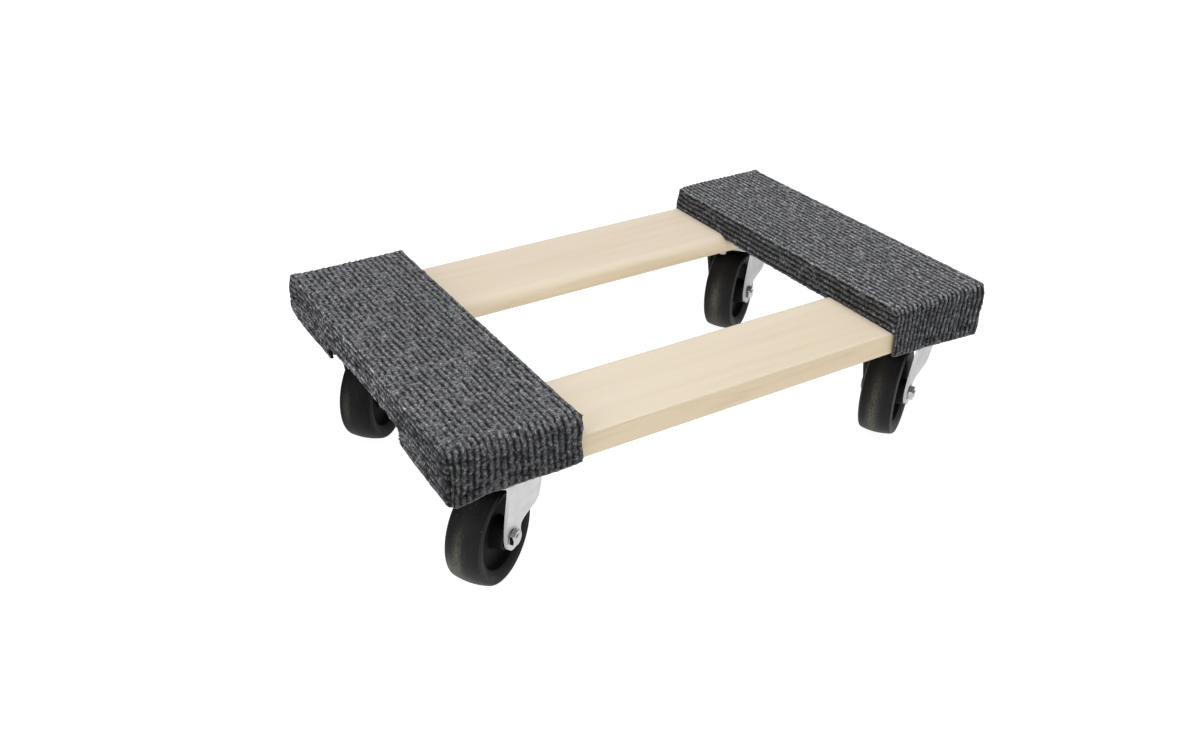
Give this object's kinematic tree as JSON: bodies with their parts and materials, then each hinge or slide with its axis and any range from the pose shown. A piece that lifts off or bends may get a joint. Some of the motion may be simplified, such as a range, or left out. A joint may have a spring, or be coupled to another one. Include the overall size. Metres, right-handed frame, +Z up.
{
  "type": "platform dolly",
  "caption": "Furniture mover's dolly: open wooden deck of two rails and carpeted cross boards on swivel plate casters, for rolling heavy goods.",
  "frame": {"origin": "on the floor, under the middle of the deck", "axes": "+Z up, +X along the rails, +Y across them; the picture's near left pad is at -X and its near side at -Y"},
  "size_m": [0.457, 0.293, 0.132],
  "materials": {
    "wood": "planed, unfinished pale softwood",
    "carpet": "ribbed needle-punch carpet, heathered charcoal",
    "zinc_steel": "bright zinc plate, satin",
    "fastener_zinc": "zinc plate",
    "screw_steel": "zinc plate",
    "staple_wire": "galvanised wire",
    "ball_steel": "polished ball steel, greased",
    "bush_nylon": "natural nylon",
    "wheel_rubber": "moulded black, dusty tread"
  },
  "bodies": {
    "deck": {"rail_front": "wood", "rail_rear": "wood", "cross_board_left": "wood", "cross_board_right": "wood", "pad_carpet_left": "carpet", "pad_carpet_right": "carpet", "deck_screws": "screw_steel", "carpet_staples": "staple_wire", "caster_screws": "screw_steel", "front_left_plate": "zinc_steel", "front_left_kingpin": "zinc_steel", "front_left_lower_race": "zinc_steel", "front_right_plate": "zinc_steel", "front_right_kingpin": "zinc_steel", "front_right_lower_race": "zinc_steel", "rear_right_plate": "zinc_steel", "rear_right_kingpin": "zinc_steel", "rear_right_lower_race": "zinc_steel", "rear_left_plate": "zinc_steel", "rear_left_kingpin": "zinc_steel", "rear_left_lower_race": "zinc_steel"},
    "front_left_swivel": {"front_left_fork": "zinc_steel", "front_left_axle_bolt": "fastener_zinc", "front_left_axle_nut": "fastener_zinc", "front_left_axle_sleeve": "fastener_zinc"},
    "front_left_wheel": {"front_left_wheel": "wheel_rubber", "front_left_hub_bush": "bush_nylon"},
    "front_left_bearing": {"front_left_upper_balls": "ball_steel", "front_left_lower_balls": "ball_steel"},
    "front_right_swivel": {"front_right_fork": "zinc_steel", "front_right_axle_bolt": "fastener_zinc", "front_right_axle_nut": "fastener_zinc", "front_right_axle_sleeve": "fastener_zinc"},
    "front_right_wheel": {"front_right_wheel": "wheel_rubber", "front_right_hub_bush": "bush_nylon"},
    "front_right_bearing": {"front_right_upper_balls": "ball_steel", "front_right_lower_balls": "ball_steel"},
    "rear_right_swivel": {"rear_right_fork": "zinc_steel", "rear_right_axle_bolt": "fastener_zinc", "rear_right_axle_nut": "fastener_zinc", "rear_right_axle_sleeve": "fastener_zinc"},
    "rear_right_wheel": {"rear_right_wheel": "wheel_rubber", "rear_right_hub_bush": "bush_nylon"},
    "rear_right_bearing": {"rear_right_upper_balls": "ball_steel", "rear_right_lower_balls": "ball_steel"},
    "rear_left_swivel": {"rear_left_fork": "zinc_steel", "rear_left_axle_bolt": "fastener_zinc", "rear_left_axle_nut": "fastener_zinc", "rear_left_axle_sleeve": "fastener_zinc"},
    "rear_left_wheel": {"rear_left_wheel": "wheel_rubber", "rear_left_hub_bush": "bush_nylon"},
    "rear_left_bearing": {"rear_left_upper_balls": "ball_steel", "rear_left_lower_balls": "ball_steel"}
  },
  "joints": [
    {"name": "front_left_swivel_turn", "type": "hinge", "parent": "deck", "child": "front_left_swivel", "pos_m": [-0.1797, -0.1055, 0.09], "axis": [0, 0, 1], "continuous": true},
    {"name": "front_left_wheel_roll", "type": "hinge", "parent": "front_left_swivel", "child": "front_left_wheel", "pos_m": [-0.18794, -0.11116, 0.0375], "axis": [-0.5664, 0.8241, 0], "continuous": true},
    {"name": "front_left_bearing_turn", "type": "hinge", "parent": "deck", "child": "front_left_bearing", "pos_m": [-0.1797, -0.1055, 0.085], "axis": [0, 0, 1], "continuous": true},
    {"name": "front_right_swivel_turn", "type": "hinge", "parent": "deck", "child": "front_right_swivel", "pos_m": [0.18, -0.1053, 0.09], "axis": [0, 0, 1], "continuous": true},
    {"name": "front_right_wheel_roll", "type": "hinge", "parent": "front_right_swivel", "child": "front_right_wheel", "pos_m": [0.17161, -0.11075, 0.0375], "axis": [-0.5446, 0.8387, 0], "continuous": true},
    {"name": "front_right_bearing_turn", "type": "hinge", "parent": "deck", "child": "front_right_bearing", "pos_m": [0.18, -0.1053, 0.085], "axis": [0, 0, 1], "continuous": true},
    {"name": "rear_right_swivel_turn", "type": "hinge", "parent": "deck", "child": "rear_right_swivel", "pos_m": [0.1786, 0.1073, 0.09], "axis": [0, 0, 1], "continuous": true},
    {"name": "rear_right_wheel_roll", "type": "hinge", "parent": "rear_right_swivel", "child": "rear_right_wheel", "pos_m": [0.17046, 0.10149, 0.0375], "axis": [-0.5807, 0.8141, 0], "continuous": true},
    {"name": "rear_right_bearing_turn", "type": "hinge", "parent": "deck", "child": "rear_right_bearing", "pos_m": [0.1786, 0.1073, 0.085], "axis": [0, 0, 1], "continuous": true},
    {"name": "rear_left_swivel_turn", "type": "hinge", "parent": "deck", "child": "rear_left_swivel", "pos_m": [-0.181, 0.1036, 0.09], "axis": [0, 0, 1], "continuous": true},
    {"name": "rear_left_wheel_roll", "type": "hinge", "parent": "rear_left_swivel", "child": "rear_left_wheel", "pos_m": [-0.18813, 0.09659, 0.0375], "axis": [-0.7009, 0.7133, 0], "continuous": true},
    {"name": "rear_left_bearing_turn", "type": "hinge", "parent": "deck", "child": "rear_left_bearing", "pos_m": [-0.181, 0.1036, 0.085], "axis": [0, 0, 1], "continuous": true}
  ],
  "couplings": [
    {"joint": "front_left_bearing_turn", "follows": "front_left_swivel_turn", "ratio": 0.5},
    {"joint": "front_right_bearing_turn", "follows": "front_right_swivel_turn", "ratio": 0.5},
    {"joint": "rear_right_bearing_turn", "follows": "rear_right_swivel_turn", "ratio": 0.5},
    {"joint": "rear_left_bearing_turn", "follows": "rear_left_swivel_turn", "ratio": 0.5}
  ]
}
